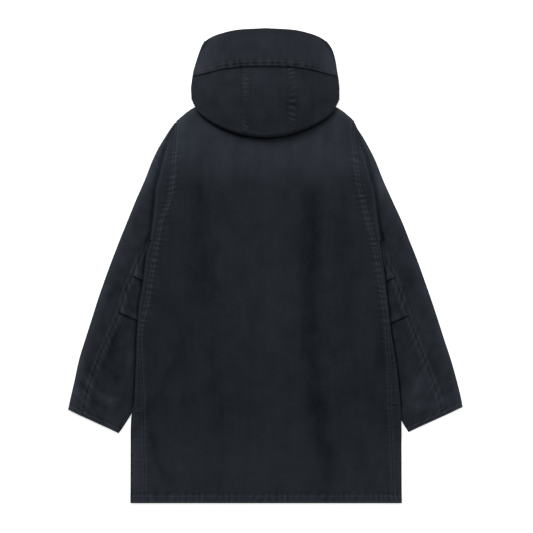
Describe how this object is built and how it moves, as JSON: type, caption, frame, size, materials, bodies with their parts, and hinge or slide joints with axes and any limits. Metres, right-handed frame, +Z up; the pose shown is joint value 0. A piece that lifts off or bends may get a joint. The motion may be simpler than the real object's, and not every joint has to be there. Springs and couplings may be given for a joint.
{
  "type": "hooded canvas parka laid flat on its front",
  "caption": "Long hooded parka of heavy washed cotton canvas, laid flat face down with its sleeves tucked under its sides and the hood's back puffed up.",
  "frame": {"origin": "on the floor, under the middle of the garment's outline", "axes": "+Y from the hem to the hood, +Z up from the floor through the garment's front to its back, X across"},
  "size_m": [0.8882, 1.0685, 0.0424],
  "materials": {
    "canvas": "garment-dyed blue charcoal cotton canvas, matt, washed lighter at the edges",
    "hood_canvas": "the same canvas, washed a little lighter"
  },
  "bodies": {
    "root": {"back": "canvas", "front_left": "canvas", "front_right": "canvas", "front_fly": "canvas", "sleeve_top_left": "canvas", "under_sleeve_upper_left": "canvas", "elbow_panel_left": "canvas", "under_sleeve_lower_left": "canvas", "sleeve_top_right": "canvas", "under_sleeve_upper_right": "canvas", "elbow_panel_right": "canvas", "under_sleeve_lower_right": "canvas", "hood_left": "hood_canvas", "hood_centre": "hood_canvas", "hood_right": "hood_canvas", "hood_brim": "hood_canvas"}
  },
  "joints": []
}
